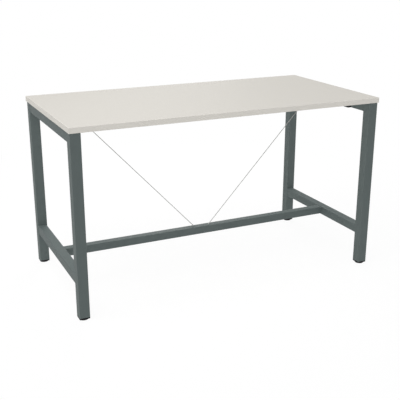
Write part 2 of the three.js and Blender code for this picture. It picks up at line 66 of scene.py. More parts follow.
lens = bpy.data.cameras.new("camera")
lens.sensor_fit = "HORIZONTAL"
lens.lens = FOCAL_LENGTH / PICTURE_SIZE * lens.sensor_width
camera = bpy.data.objects.new("camera", lens)
scene.collection.objects.link(camera)
scene.camera = camera
backward = bearing(CAMERA_AZIMUTH, CAMERA_ELEVATION)
camera.location = CAMERA_TARGET + CAMERA_DISTANCE * backward
camera.rotation_euler = backward.to_track_quat("Z", "Y").to_euler()

# Legs

# Four legs of square steel tube, rolled from strip, so that their corners have a small radius. They are sawn
# square at both ends and carry the frame's grey-green powder coat, which has a fine orange-peel skin.
CORNERS = ("front_left", "front_right", "back_left", "back_right")
TUBE_WALL = 0.002
TUBE_ROUNDING = 0.0025
TUBE_INNER_ROUNDING = 0.0005
TUBE_CORNER_STEPS = 8
WELDED_POINTS = 0.000001
SHARP_ANGLE = math.radians(35)
COAT_COLOUR = (0.085, 0.105, 0.103)
COAT_SHADE = (0.079, 0.098, 0.096)
COAT_ROUGHNESS = (0.60, 0.68)
COAT_SHEEN = 0.29
COAT_CLOUD = 0.11
COAT_CLOUD_DETAIL = 4.0
COAT_PEEL = 0.0011
COAT_PEEL_HEIGHT = 0.00005
CLOUD_RANGE = (0.3, 0.7)
GRAIN_DETAIL = 2.0
UP = Vector((0, 0, 1))


def add(tree, kind, inputs=(), **settings):
    """A node in a shader or geometry tree, with its sockets set to values or linked to other sockets."""
    node = tree.nodes.new(kind)
    for name, value in settings.items():
        setattr(node, name, value)
    for socket, value in dict(inputs).items():
        if isinstance(value, bpy.types.NodeSocket):
            tree.links.new(value, node.inputs[socket])
        else:
            node.inputs[socket].default_value = value
    return node


def cloud(tree, place, size, detail):
    """A soft random pattern with patches of about one size."""
    noise = {"Vector": place, "Scale": 1 / size, "Detail": detail}
    return add(tree, "ShaderNodeTexNoise", noise).outputs[0]


def tinted(tree, shader, pattern, low, high):
    """Colours the surface between two tints of its colour, by a pattern."""
    ramp = add(tree, "ShaderNodeValToRGB", {"Fac": pattern})
    first, last = ramp.color_ramp.elements
    first.position, last.position = CLOUD_RANGE
    first.color, last.color = (*low, 1), (*high, 1)
    tree.links.new(ramp.outputs["Color"], shader.inputs["Base Color"])


def roughened(tree, shader, pattern, limits):
    """Varies the surface's roughness between two limits, by a pattern."""
    rough = add(tree, "ShaderNodeMapRange", {
        "Value": pattern, "From Min": CLOUD_RANGE[0], "From Max": CLOUD_RANGE[1],
        "To Min": limits[0], "To Max": limits[1],
    }).outputs[0]
    tree.links.new(rough, shader.inputs["Roughness"])


def embossed(tree, shader, pattern, height):
    """Raises and lowers the surface by a pattern, over a real height."""
    bump = add(tree, "ShaderNodeBump", {"Height": pattern, "Distance": height}).outputs[0]
    tree.links.new(bump, shader.inputs["Normal"])


def clouded_finish(name, tints, roughness, patch, patch_detail, grain, grain_height, **constants):
    """A material that varies in colour and gloss from patch to patch, with a fine grain embossed in it."""
    finish = bpy.data.materials.new(name)
    finish.use_nodes = True
    tree = finish.node_tree
    shader = tree.nodes["Principled BSDF"]
    for socket, value in constants.items():
        shader.inputs[socket.replace("_", " ")].default_value = value
    place = add(tree, "ShaderNodeTexCoord").outputs["Object"]
    patches = cloud(tree, place, patch, patch_detail)
    tinted(tree, shader, patches, *tints)
    roughened(tree, shader, patches, roughness)
    embossed(tree, shader, cloud(tree, place, grain, GRAIN_DETAIL), grain_height)
    return finish


def powder_coat_finish():
    """Baked polyester powder: even in colour, with a fine orange peel and a soft sheen."""
    return clouded_finish(
        "powder_coat", (COAT_SHADE, COAT_COLOUR), COAT_ROUGHNESS, COAT_CLOUD, COAT_CLOUD_DETAIL,
        COAT_PEEL, COAT_PEEL_HEIGHT, Specular_IOR_Level=COAT_SHEEN,
    )


def number(tree, operation, *values):
    """One step of arithmetic on sockets or numbers."""
    return add(tree, "ShaderNodeMath", enumerate(values), operation=operation).outputs[0]


def together(tree, *parts):
    """Several geometries as one."""
    union = add(tree, "GeometryNodeJoinGeometry")
    for part in parts:
        tree.links.new(part, union.inputs[0])
    return union.outputs[0]


def new_tree(name, *sizes):
    """A geometry tree with a named input for each size and one for the finish, and those inputs."""
    tree = bpy.data.node_groups.new(name, "GeometryNodeTree")
    for size in sizes:
        tree.interface.new_socket(size, in_out="INPUT", socket_type="NodeSocketFloat")
    tree.interface.new_socket("Finish", in_out="INPUT", socket_type="NodeSocketMaterial")
    tree.interface.new_socket("Geometry", in_out="OUTPUT", socket_type="NodeSocketGeometry")
    return tree, add(tree, "NodeGroupInput").outputs


def end_tree(tree, geometry, finish):
    """The end of every tree: real geometry, in its finish."""
    real = add(tree, "GeometryNodeRealizeInstances", {"Geometry": geometry}).outputs[0]
    finished = add(tree, "GeometryNodeSetMaterial", {"Geometry": real, "Material": finish}).outputs[0]
    add(tree, "NodeGroupOutput", {"Geometry": finished})


def baked(piece):
    """The piece with its modifiers made part of its mesh."""
    shaped = piece.evaluated_get(bpy.context.evaluated_depsgraph_get())
    mesh = bpy.data.meshes.new_from_object(shaped)
    piece.modifiers.clear()
    piece.data = mesh
    return piece


def grown(name, tree, finish, sizes):
    """The plain mesh that a tree makes from these sizes."""
    piece = bpy.data.objects.new(name, bpy.data.meshes.new(name))
    scene.collection.objects.link(piece)
    growth = piece.modifiers.new(tree.name, "NODES")
    growth.node_group = tree
    given = {**sizes, "Finish": finish}
    for socket in tree.interface.items_tree:
        if socket.in_out == "INPUT":
            growth[socket.identifier] = given[socket.name]
    return baked(piece)


def smoothed(piece):
    """Smooth shading round the soft edges, with the flat faces left flat."""
    piece.data.shade_smooth()
    piece.data.set_sharp_from_angle(angle=SHARP_ANGLE)
    weights = piece.modifiers.new("flat faces", "WEIGHTED_NORMAL")
    weights.keep_sharp = True
    return baked(piece)


def along(direction, place):
    """The turn and shift that lay a piece made up the Z axis along a direction, from a place."""
    return Matrix.LocRotScale(place, UP.rotation_difference(direction), None)


def carried(piece, body, slot, *nodes):
    """The piece rides on a body and stands for the nodes, which are hidden. The slot is not used."""
    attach(piece, body)
    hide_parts(*nodes)


def rounded_square(tree, side, rounding):
    """A square outline with round corners, as a curve."""
    sides = {"Width": side, "Height": side}
    square = add(tree, "GeometryNodeCurvePrimitiveQuadrilateral", sides).outputs[0]
    corners = {"Curve": square, "Radius": rounding, "Count": TUBE_CORNER_STEPS}
    return add(tree, "GeometryNodeFilletCurve", corners, mode="POLY").outputs[0]


def square_tube_tree():
    """A hollow square tube that stands on the origin: its section, drawn out to a length."""
    tree, size = new_tree("square_tube", "Side", "Wall", "Rounding", "Inner Rounding", "Length")
    outer = rounded_square(tree, size["Side"], size["Rounding"])
    bore = number(tree, "SUBTRACT", size["Side"], number(tree, "MULTIPLY", size["Wall"], 2.0))
    inner = rounded_square(tree, bore, size["Inner Rounding"])
    section = add(tree, "GeometryNodeFillCurve", {"Curve": together(tree, outer, inner)}).outputs[0]
    rise = add(tree, "ShaderNodeCombineXYZ", {"Z": size["Length"]}).outputs[0]
    drawing = {"Mesh": section, "Offset": rise, "Individual": False}
    drawn = add(tree, "GeometryNodeExtrudeMesh", drawing).outputs["Mesh"]
    base = add(tree, "GeometryNodeFlipFaces", {"Mesh": section}).outputs[0]
    seams = {"Geometry": together(tree, drawn, base), "Distance": WELDED_POINTS}
    end_tree(tree, add(tree, "GeometryNodeMergeByDistance", seams).outputs[0], size["Finish"])
    return tree


def tube_for(name, node, direction):
    """A square tube in the place of a node, along a direction."""
    low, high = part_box(node)
    span = high - low
    length = span.dot(direction)
    sizes = {
        "Side": min(span), "Wall": TUBE_WALL, "Rounding": TUBE_ROUNDING,
        "Inner Rounding": TUBE_INNER_ROUNDING, "Length": length,
    }
    tube = grown(name, square_tube, powder_coat, sizes)
    tube.data.transform(along(direction, (low + high - length * direction) / 2))
    return tube


powder_coat = powder_coat_finish()
square_tube = square_tube_tree()
for corner in CORNERS:
    leg = smoothed(tube_for(f"{corner}_leg", f"leg_{corner}", UP))
    carried(leg, "table", "powder_coat", f"leg_{corner}")

# Rails

# Each end frame has a top rail and a low rail of square tube between its legs. The top rails are drilled
# on the inside for the bracket bolts. The low rails are drilled on the inside for the stretcher's bolts, and
# on the outside for the key that turns them.
SIDES = {"left": -1, "right": 1}
FORWARD = Vector((0, 1, 0))
RIGHT = Vector((1, 0, 0))
DRILL_SIDES = 32
DRILL_REACH = 2 * TUBE_WALL
BRACKET_BOLT_HOLE = 0.0066
BRACKET_OFFSET = 0.240
STRETCHER_BOLT_HOLE = 0.0086
BOLT_SPACING = 0.022
ACCESS_WIDTH = 0.015
ARC_STEPS = 12


def solid(name, mesh, *finishes):
    """An object at the origin from an edited mesh, which is used up."""
    data = bpy.data.meshes.new(name)
    mesh.to_mesh(data)
    mesh.free()
    for finish in finishes:
        data.materials.append(finish)
    piece = bpy.data.objects.new(name, data)
    scene.collection.objects.link(piece)
    return piece


def rod(diameter, start, end, sides=DRILL_SIDES):
    """A plain rod between two points, for cutting holes. Its diameter is measured over its corners."""
    mesh = bmesh.new()
    place = along(end - start, (start + end) / 2)
    bmesh.ops.create_cone(
        mesh, cap_ends=True, segments=sides, radius1=diameter / 2, radius2=diameter / 2,
        depth=(end - start).length, matrix=place,
    )
    return solid("cutter", mesh)


def rounded(corners):
    """An outline through corners given as x, y and radius, each rounded by an arc."""
    outline = []
    count = len(corners)
    for index, (x, y, radius) in enumerate(corners):
        corner = Vector((x, y))
        if radius == 0:
            outline.append(corner)
            continue
        before = (Vector(corners[index - 1][:2]) - corner).normalized()
        after = (Vector(corners[(index + 1) % count][:2]) - corner).normalized()
        half = before.angle(after) / 2
        centre = corner + (before + after).normalized() * radius / math.sin(half)
        first = corner + before * radius / math.tan(half) - centre
        last = corner + after * radius / math.tan(half) - centre
        sweep = first.angle_signed(last)
        for step in range(ARC_STEPS + 1):
            outline.append(centre + Matrix.Rotation(-sweep * step / ARC_STEPS, 2) @ first)
    return outline


def prism(name, outline, depth, *finishes):
    """A closed outline, drawn up the Z axis to a depth."""
    mesh = bmesh.new()
    base = [mesh.verts.new((*point, 0)) for point in outline]
    top = [mesh.verts.new((*point, depth)) for point in outline]
    mesh.faces.new(base)
    mesh.faces.new(top)
    for index in range(len(outline)):
        mesh.faces.new((base[index - 1], base[index], top[index], top[index - 1]))
    bmesh.ops.remove_doubles(mesh, verts=mesh.verts, dist=WELDED_POINTS)
    bmesh.ops.recalc_face_normals(mesh, faces=mesh.faces)
    return solid(name, mesh, *finishes)


def access_outline(width):
    """The long hole that both bolts at one end of the stretcher pass through."""
    across = width / 2
    reach = (BOLT_SPACING + width) / 2
    return rounded([
        (-across, -reach, across),
        (across, -reach, across),
        (across, reach, across),
        (-across, reach, across),
    ])


def combined(piece, operation, *others):
    """The piece joined with others, kept to them or cut by them. The others are used up."""
    for other in others:
        boolean = piece.modifiers.new("combined", "BOOLEAN")
        boolean.operation = operation
        boolean.solver = "EXACT"
        boolean.object = other
    baked(piece)
    for other in others:
        bpy.data.objects.remove(other)
    return piece


def cut(piece, *cutters):
    """The piece less the room of each cutter."""
    return combined(piece, "DIFFERENCE", *cutters)


def holes_through(face_x, diameter, offsets, height):
    """Cutters through a wall at an x, one at each y offset."""
    through = DRILL_REACH * RIGHT
    places = [Vector((face_x, offset, height)) for offset in offsets]
    return [rod(diameter, place - through, place + through) for place in places]


for side_name, side in SIDES.items():
    for rail, diameter, offset in (
        ("top_rail", BRACKET_BOLT_HOLE, BRACKET_OFFSET),
        ("low_rail", STRETCHER_BOLT_HOLE, BOLT_SPACING / 2),
    ):
        node = f"{rail}_{side_name}"
        low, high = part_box(node)
        height = (low.z + high.z) / 2
        inner_face, outer_face = (high.x, low.x) if side < 0 else (low.x, high.x)
        cutters = holes_through(inner_face, diameter, (-offset, offset), height)
        if rail == "low_rail":
            slot = prism("cutter", access_outline(ACCESS_WIDTH), 2 * DRILL_REACH)
            slot.data.transform(along(side * RIGHT, Vector((outer_face - side * DRILL_REACH, 0, height))))
            cutters.append(slot)
        tube = smoothed(cut(tube_for(f"{side_name}_{rail}", node, FORWARD), *cutters))
        carried(tube, "table", "powder_coat", node)

# Welds

# A small fillet weld runs round both ends of every rail, where it meets the leg. The arc leaves a row of
# overlapping ripples, and the powder coat covers them.
WELD_RADIUS = 0.0019
WELD_RIPPLE = 0.0022
WELD_RIPPLE_STEPS = 5
WELD_RIPPLE_DEPTH = 0.12
WELD_RIPPLE_SHARPNESS = 3.0
WELD_SIDES = 10


def weld_bead_tree():
    """A bead that follows a rounded square round the origin and swells with every ripple."""
    tree, size = new_tree("weld_bead", "Side", "Rounding", "Bead", "Ripple", "Ripple Depth")
    seam = rounded_square(tree, size["Side"], size["Rounding"])
    spacing = number(tree, "DIVIDE", size["Ripple"], WELD_RIPPLE_STEPS)
    even_steps = {"Curve": seam, "Length": spacing}
    path = add(tree, "GeometryNodeResampleCurve", even_steps, mode="LENGTH").outputs[0]
    travel = add(tree, "GeometryNodeSplineParameter").outputs["Length"]
    ripple = number(tree, "FRACT", number(tree, "DIVIDE", travel, size["Ripple"]))
    hollow = number(tree, "POWER", ripple, WELD_RIPPLE_SHARPNESS)
    swell = number(tree, "SUBTRACT", 1.0, number(tree, "MULTIPLY", hollow, size["Ripple Depth"]))
    circle = {"Resolution": WELD_SIDES, "Radius": size["Bead"]}
    profile = add(tree, "GeometryNodeCurvePrimitiveCircle", circle).outputs["Curve"]
    sweep = {"Curve": path, "Profile Curve": profile, "Scale": swell}
    end_tree(tree, add(tree, "GeometryNodeCurveToMesh", sweep).outputs[0], size["Finish"])
    return tree


def joined(name, parts):
    """Several meshes of one finish as a single piece."""
    whole = bmesh.new()
    for part in parts:
        whole.from_mesh(part.data)
    finish = parts[0].data.materials[0]
    for part in parts:
        bpy.data.objects.remove(part)
    return solid(name, whole, finish)


weld_bead = weld_bead_tree()
beads = []
for side_name in SIDES:
    for rail in ("top_rail", "low_rail"):
        low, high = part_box(f"{rail}_{side_name}")
        middle = (low + high) / 2
        for end_y in (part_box(f"leg_front_{side_name}")[1].y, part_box(f"leg_back_{side_name}")[0].y):
            sizes = {
                "Side": high.x - low.x, "Rounding": TUBE_ROUNDING, "Bead": WELD_RADIUS,
                "Ripple": WELD_RIPPLE, "Ripple Depth": WELD_RIPPLE_DEPTH,
            }
            bead = grown("weld", weld_bead, powder_coat, sizes)
            bead.data.transform(along(FORWARD, Vector((middle.x, end_y, middle.z))))
            beads.append(bead)
welds = joined("rail_welds", beads)
welds.data.shade_smooth()
carried(welds, "table", "powder_coat")

# Stretcher

# One square tube joins the middles of the low rails. It is drilled aslant through its upper wall, near its
# middle, for the two tension wires.
WIRE_FOOT = 0.047
WIRE_HEAD = 0.7475
WIRE_DIAMETER = 0.004
WIRE_HOLE = 0.0046
WIRE_HOLE_REACH = 0.012
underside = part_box("tabletop_board")[0].z
stretcher_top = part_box("stretcher")[1].z


def wire_foot(side):
    """Where a wire's line leaves the top of the stretcher."""
    return Vector((side * WIRE_FOOT, 0, stretcher_top))


def wire_head(side):
    """Where a wire's line meets the underside of the top."""
    return Vector((side * WIRE_HEAD, 0, underside))


def up_wire(side):
    """The direction up a wire."""
    return (wire_head(side) - wire_foot(side)).normalized()


wire_holes = []
for side in SIDES.values():
    through = WIRE_HOLE_REACH * up_wire(side)
    wire_holes.append(rod(WIRE_HOLE, wire_foot(side) - through, wire_foot(side) + through))
stretcher = smoothed(cut(tube_for("stretcher_tube", "stretcher", RIGHT), *wire_holes))
carried(stretcher, "table", "powder_coat", "stretcher")

# Stretcher ends

# A tapped steel plate is welded in each end of the stretcher, and two socket-head bolts hold it from inside
# the low rail. All of them are zinc-plated and stay hidden once the access plug is in.
ZINC_COLOUR = (0.58, 0.60, 0.61)
ZINC_SHADE = (0.49, 0.51, 0.53)
ZINC_ROUGHNESS = (0.26, 0.42)
ZINC_CLOUD = 0.004
ZINC_CLOUD_DETAIL = 4.0
ZINC_GRAIN = 0.0004
ZINC_GRAIN_HEIGHT = 0.000008
ENDS = ("front", "back")


def zinc_plate_finish():
    """Bright zinc on steel: a metal with a slightly cloudy, fine-grained skin."""
    return clouded_finish(
        "zinc_plate", (ZINC_SHADE, ZINC_COLOUR), ZINC_ROUGHNESS, ZINC_CLOUD, ZINC_CLOUD_DETAIL,
        ZINC_GRAIN, ZINC_GRAIN_HEIGHT, Metallic=1.0,
    )


def dressed(node, finish):
    """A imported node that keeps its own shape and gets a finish."""
    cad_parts[node].material_slots[0].material = finish


zinc_plate = zinc_plate_finish()
for side_name in SIDES:
    dressed(f"stretcher_plate_{side_name}", zinc_plate)
    for end_name in ENDS:
        dressed(f"stretcher_bolt_{side_name}_{end_name}", zinc_plate)

# Access plugs

# A moulded plug in the frame's colour closes the long hole outside each low rail. Its thin cap lies on the
# rail and its stem is pressed into the hole.
PLUG_COLOUR = (0.086, 0.106, 0.104)
PLUG_SHADE = (0.080, 0.099, 0.097)
PLUG_ROUGHNESS = (0.58, 0.66)
PLUG_SHEEN = 0.29
MOULD_CLOUD = 0.02
MOULD_CLOUD_DETAIL = 3.0
MOULD_GRAIN = 0.0005
MOULD_GRAIN_HEIGHT = 0.00002
ACCESS_PLUG_RIM = 0.002
ACCESS_PLUG_CAP = 0.001
ACCESS_PLUG_PLAY = 0.0006
ACCESS_PLUG_SOFTENING = 0.0005
SOFTENING_STEPS = 3


def moulded_finish(name, shade, colour, roughness, sheen):
    """Moulded plastic or baked paint: a fine even grain, and a little unevenness in its gloss."""
    return clouded_finish(
        name, (shade, colour), roughness, MOULD_CLOUD, MOULD_CLOUD_DETAIL,
        MOULD_GRAIN, MOULD_GRAIN_HEIGHT, Specular_IOR_Level=sheen,
    )


def softened(piece, width):
    """The piece with its sharp edges rounded, as a mould, a tool or a coat of paint leaves them."""
    bevel = piece.modifiers.new("soft edges", "BEVEL")
    bevel.width = width
    bevel.segments = SOFTENING_STEPS
    bevel.limit_method = "ANGLE"
    bevel.angle_limit = SHARP_ANGLE
    return smoothed(baked(piece))


grey_plastic = moulded_finish("grey_plastic", PLUG_SHADE, PLUG_COLOUR, PLUG_ROUGHNESS, PLUG_SHEEN)
for side_name, side in SIDES.items():
    node = f"access_plug_{side_name}"
    low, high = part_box(node)
    depth = high.x - low.x
    stem_outline = access_outline(ACCESS_WIDTH - ACCESS_PLUG_PLAY)
    cap_outline = access_outline(ACCESS_WIDTH + 2 * ACCESS_PLUG_RIM)
    stem = prism("stem", stem_outline, depth - ACCESS_PLUG_CAP / 2, grey_plastic)
    cap = prism("cap", cap_outline, ACCESS_PLUG_CAP, grey_plastic)
    cap.data.transform(Matrix.Translation((0, 0, depth - ACCESS_PLUG_CAP)))
    softened(cap, ACCESS_PLUG_SOFTENING)
    plug = smoothed(joined(f"{side_name}_access_plug", [stem, cap]))
    start_x = low.x if side > 0 else high.x
    plug.data.transform(along(side * RIGHT, Vector((start_x, 0, (low.z + high.z) / 2))))
    carried(plug, "table", "grey_plastic", node)

# Foot plugs

# A black nylon plug is driven into the bottom of each leg. Its flange covers the sawn end of the tube, and
# the boss inside it is threaded for the foot's stud.
NYLON_COLOUR = (0.010, 0.010, 0.011)
NYLON_SHADE = (0.007, 0.007, 0.008)
NYLON_ROUGHNESS = (0.55, 0.68)
NYLON_SHEEN = 0.12
FOOT_PLUG_SOFTENING = 0.0004
FLAT_ANGLE = math.radians(1)


def copied(name, node, finish):
    """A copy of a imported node's mesh, with its loose triangles merged into faces."""
    mesh = bmesh.new()
    mesh.from_mesh(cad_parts[node].data)
    bmesh.ops.remove_doubles(mesh, verts=mesh.verts, dist=WELDED_POINTS)
    bmesh.ops.dissolve_limit(mesh, angle_limit=FLAT_ANGLE, verts=mesh.verts, edges=mesh.edges)
    return solid(name, mesh, finish)


black_nylon = moulded_finish("black_nylon", NYLON_SHADE, NYLON_COLOUR, NYLON_ROUGHNESS, NYLON_SHEEN)
for corner in CORNERS:
    node = f"foot_plug_{corner}"
    plug = softened(copied(f"{corner}_foot_plug", node, black_nylon), FOOT_PLUG_SOFTENING)
    carried(plug, "table", "black_plastic", node)

# Foot studs

# Each foot turns on a zinc-plated M8 stud. A key through the pad reaches the hexagon socket in its flat head,
# and its thread is rolled, so that the crests and roots are a little flat.
LEVELLING_STUD = {
    "head": 0.016, "head_height": 0.0016, "socket": 0.005, "socket_depth": 0.0012,
    "shank": 0.008, "pitch": 0.00125, "tip": 0.001, "softening": 0.0003,
}
THREAD_DEPTH_PER_PITCH = 0.61
THREAD_FLAT = 0.1
THREAD_SIDES = 32
THREAD_STEPS = 8
TURNED_SIDES = 48
HEXAGON = 6


def threaded_rod_tree():
    """A rod that stands on the origin, with a right-hand thread up it and a chamfer at its top."""
    tree, size = new_tree("threaded_rod", "Diameter", "Pitch", "Thread Depth", "Length", "Chamfer")
    radius = number(tree, "MULTIPLY", size["Diameter"], 0.5)
    half_length = number(tree, "MULTIPLY", size["Length"], 0.5)
    turns = number(tree, "DIVIDE", size["Length"], size["Pitch"])
    blank = add(tree, "GeometryNodeMeshCylinder", {
        "Vertices": THREAD_SIDES, "Side Segments": number(tree, "MULTIPLY", turns, THREAD_STEPS),
        "Radius": radius, "Depth": size["Length"],
    }).outputs["Mesh"]
    position = add(tree, "GeometryNodeInputPosition").outputs[0]
    x, y, z = add(tree, "ShaderNodeSeparateXYZ", {"Vector": position}).outputs
    angle = number(tree, "DIVIDE", number(tree, "ARCTAN2", y, x), 2 * math.pi)
    turn = number(tree, "FRACT", number(tree, "SUBTRACT", number(tree, "DIVIDE", z, size["Pitch"]), angle))
    flank = number(tree, "ABSOLUTE", number(tree, "SUBTRACT", number(tree, "MULTIPLY", turn, 2.0), 1.0))
    crest = number(tree, "SMOOTH_MAX", flank, THREAD_FLAT, THREAD_FLAT)
    groove = number(tree, "SMOOTH_MIN", crest, 1 - THREAD_FLAT, THREAD_FLAT)
    thread = number(tree, "SUBTRACT", radius, number(tree, "MULTIPLY", groove, size["Thread Depth"]))
    room = number(tree, "SUBTRACT", half_length, z)
    chamfer = number(tree, "ADD", number(tree, "SUBTRACT", radius, size["Chamfer"]), room)
    shrink = number(tree, "DIVIDE", number(tree, "MINIMUM", thread, chamfer), radius)
    cut_place = add(tree, "ShaderNodeCombineXYZ", {
        "X": number(tree, "MULTIPLY", x, shrink), "Y": number(tree, "MULTIPLY", y, shrink),
        "Z": number(tree, "ADD", z, half_length),
    }).outputs[0]
    rolled = add(tree, "GeometryNodeSetPosition", {"Geometry": blank, "Position": cut_place}).outputs[0]
    end_tree(tree, rolled, size["Finish"])
    return tree


def threaded(diameter, pitch, start, length, chamfer, finish):
    """A threaded rod up the Z axis from a height."""
    sizes = {
        "Diameter": diameter, "Pitch": pitch, "Thread Depth": THREAD_DEPTH_PER_PITCH * pitch,
        "Length": length, "Chamfer": chamfer,
    }
    shank = grown("shank", threaded_rod, finish, sizes)
    shank.data.transform(Matrix.Translation((0, 0, start)))
    return shank


def turned(name, profile, *finishes):
    """A piece turned about Z from pairs of radius and height. A profile that is off the axis makes a ring."""
    mesh = bmesh.new()
    rings = []
    for radius, height in profile:
        count = TURNED_SIDES if radius > 0 else 1
        turns = [2 * math.pi * step / TURNED_SIDES for step in range(count)]
        rings.append([mesh.verts.new((radius * math.cos(t), radius * math.sin(t), height)) for t in turns])
    if profile[0][0] > 0:
        rings.append(rings[0])
    for lower, upper in zip(rings, rings[1:]):
        for step in range(TURNED_SIDES):
            after = (step + 1) % TURNED_SIDES
            corners = [lower[step % len(lower)], lower[after % len(lower)],
                       upper[after % len(upper)], upper[step % len(upper)]]
            mesh.faces.new(dict.fromkeys(corners))
    bmesh.ops.recalc_face_normals(mesh, faces=mesh.faces)
    return solid(name, mesh, *finishes)


def socket_head(shape):
    """A round screw head that stands on the origin, with a hexagon socket in its lower face."""
    edge = shape["head"] / 2
    height = shape["head_height"]
    head = turned("head", [(0, 0), (edge, 0), (edge, height), (0, height)], zinc_plate)
    across_corners = shape["socket"] * 2 / math.sqrt(3)
    depth = shape["socket_depth"] * UP
    return softened(cut(head, rod(across_corners, -depth, depth, HEXAGON)), shape["softening"])


def socket_screw(name, shape, length):
    """A zinc-plated screw that stands on the origin on its head, with a threaded shank."""
    head = socket_head(shape)
    start = shape["head_height"]
    shank = threaded(shape["shank"], shape["pitch"], start, length - start, shape["tip"], zinc_plate)
    return smoothed(joined(name, [head, shank]))


def set_down(piece, node):
    """Moves a piece that stands on the origin to stand in the middle of a node's place."""
    low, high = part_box(node)
    piece.data.transform(Matrix.Translation(((low.x + high.x) / 2, (low.y + high.y) / 2, low.z)))


threaded_rod = threaded_rod_tree()
for corner in CORNERS:
    node = f"foot_stud_{corner}"
    low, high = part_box(node)
    stud = socket_screw(f"{corner}_foot_stud", LEVELLING_STUD, high.z - low.z)
    set_down(stud, node)
    carried(stud, f"stud_{corner}", "zinc_steel", node)

# Foot pads

# Each foot stands on a low pad of black nylon, moulded round the stud's head, which turns in it. A shallow
# ring in its underside leaves a rim that stands on the floor, and the key goes in through the middle.
PAD_KEY_HOLE = 0.0032
PAD_RECESS_EDGE = 0.0175
PAD_RECESS_DEPTH = 0.0004
PAD_RECESS_ROUNDING = PAD_RECESS_DEPTH / 3
PAD_MOUTH = 0.0043
PAD_SOCKET = 0.0083
PAD_FLOOR = 0.0022
PAD_LIP = 0.002
PAD_BASE_ROUNDING = 0.0006
PAD_TOP_ROUNDING = 0.001
PAD_TAPER = 0.0004


def pad_profile(radius, height):
    """The pad's section, from the key hole along the floor, up the rim and back into the stud's socket."""
    return rounded([
        (PAD_KEY_HOLE, PAD_RECESS_DEPTH, 0),
        (PAD_RECESS_EDGE, PAD_RECESS_DEPTH, PAD_RECESS_ROUNDING),
        (PAD_RECESS_EDGE + PAD_RECESS_DEPTH, 0, PAD_RECESS_ROUNDING),
        (radius, 0, PAD_BASE_ROUNDING),
        (radius - PAD_TAPER, height, PAD_TOP_ROUNDING),
        (PAD_MOUTH, height, 0),
        (PAD_MOUTH, height - PAD_LIP, 0),
        (PAD_SOCKET, height - PAD_LIP, 0),
        (PAD_SOCKET, PAD_FLOOR, 0),
        (PAD_KEY_HOLE, PAD_FLOOR, 0),
    ])


for corner in CORNERS:
    node = f"foot_pad_{corner}"
    low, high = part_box(node)
    profile = pad_profile((high.x - low.x) / 2, high.z - low.z)
    pad = smoothed(turned(f"{corner}_foot_pad", profile, black_nylon))
    set_down(pad, node)
    carried(pad, f"pad_{corner}", "black_plastic", node)

# Top

# The top is a 29 mm particle board, faced on both sides with a pale warm-grey melamine laminate. The press
# plate leaves a very fine matt grain in it.
LAMINATE_COLOUR = (0.566, 0.547, 0.509)
LAMINATE_SHADE = (0.546, 0.527, 0.490)
LAMINATE_ROUGHNESS = (0.62, 0.70)
LAMINATE_FLECK = 0.0016
LAMINATE_FLECK_DETAIL = 3.0
LAMINATE_GRAIN = 0.0007
LAMINATE_GRAIN_HEIGHT = 0.00003
LAMINATE_SHEEN = 0.03


def laminate_finish(name, shade, colour):
    """Matt melamine: a plain pale colour with faint flecks and a pressed grain."""
    return clouded_finish(
        name, (shade, colour), LAMINATE_ROUGHNESS, LAMINATE_FLECK, LAMINATE_FLECK_DETAIL,
        LAMINATE_GRAIN, LAMINATE_GRAIN_HEIGHT, Specular_IOR_Level=LAMINATE_SHEEN,
    )


laminate = laminate_finish("laminate", LAMINATE_SHADE, LAMINATE_COLOUR)
dressed("tabletop_board", laminate)

# Edge bands

# A 2 mm plastic band is glued round the board's four edges, and its outer edges are trimmed to a small
# radius. The
# long bands lap over the ends of the short ones. The band's colour is painted a shade lighter than the
# laminate:
# painted light, which makes the edge faces brighter than the lamps alone make them.
BAND_ROUNDING = 0.001
# Painted light: the laminate's colours, made a little lighter so that the edges look more brightly lit.
BAND_COLOUR_WITH_PAINTED_LIGHT = (0.616, 0.595, 0.554)
BAND_SHADE_WITH_PAINTED_LIGHT = (0.601, 0.581, 0.540)

# The band's finish is the laminate's, in the lighter painted-light colours above.
edge_band = laminate_finish("edge_band", BAND_SHADE_WITH_PAINTED_LIGHT, BAND_COLOUR_WITH_PAINTED_LIGHT)
band_outward = {"front": -FORWARD, "back": FORWARD, "left": -RIGHT, "right": RIGHT}
for name, outward in band_outward.items():
    node = f"edge_band_{name}"
    low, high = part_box(node)
    thickness = min(high - low)
    height = high.z - low.z
    length = max(high - low)
    section = rounded([
        (0, 0, 0), (thickness, 0, BAND_ROUNDING), (thickness, height, BAND_ROUNDING), (0, height, 0),
    ])
    band = prism(f"{name}_edge_band", section, length, edge_band)
    run = outward.cross(UP)
    turn = Matrix((outward, UP, run)).transposed().to_4x4()
    start = (low + high - thickness * outward - length * run - height * UP) / 2
    band.data.transform(Matrix.Translation(start) @ turn)
    carried(smoothed(band), "table", "edge_band", node)

# Top brackets

# Four black-painted steel brackets hold the top down on the end frames: a back against the top rail, a plate
# under the board and two cheeks that slope up inwards, pressed from 3 mm sheet and open below.
BRACKET_PLATE = 0.003
BRACKET_SLOPE = 0.032
BRACKET_SLOPE_RISE = 0.010
BRACKET_SEAT = 0.0002
BRACKET_CORNER = 0.003
BRACKET_SCREW_HOLE = 0.0051
BRACKET_SOFTENING = 0.0007
BLACK_COLOUR = (0.020, 0.020, 0.021)
BLACK_SHADE = (0.015, 0.015, 0.016)
BLACK_ROUGHNESS = (0.40, 0.52)
BLACK_SHEEN = 0.3


def upright_prism(name, outline, width, *finishes):
    """An outline in x and z, drawn along y to a width, with y = 0 in the middle."""
    piece = prism(name, outline, width, *finishes)
    upright = Matrix.Rotation(math.radians(90), 4, "X")
    piece.data.transform(upright @ Matrix.Translation((0, 0, -width / 2)))
    return piece


